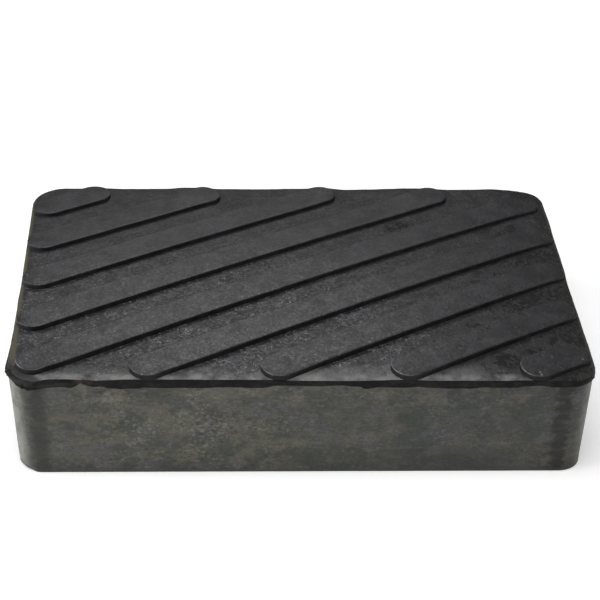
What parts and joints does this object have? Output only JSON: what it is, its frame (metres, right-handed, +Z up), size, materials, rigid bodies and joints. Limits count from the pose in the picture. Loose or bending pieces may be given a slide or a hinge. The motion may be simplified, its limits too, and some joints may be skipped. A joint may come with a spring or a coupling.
{
  "type": "lift arm rubber pad",
  "caption": "Solid rubber block pad for a vehicle lift arm, flat underneath, with low diagonal round-ended grip ribs on a slightly crowned top.",
  "frame": {"origin": "middle of the flat underside", "axes": "+X along the long side, +Y towards the back long side, +Z up through the thickness, out of the ribbed top"},
  "size_m": [0.15, 0.1, 0.0328],
  "materials": {
    "rubber": "satin black moulded rubber"
  },
  "bodies": {
    "root": {"rubber_pad": "rubber"}
  },
  "joints": []
}
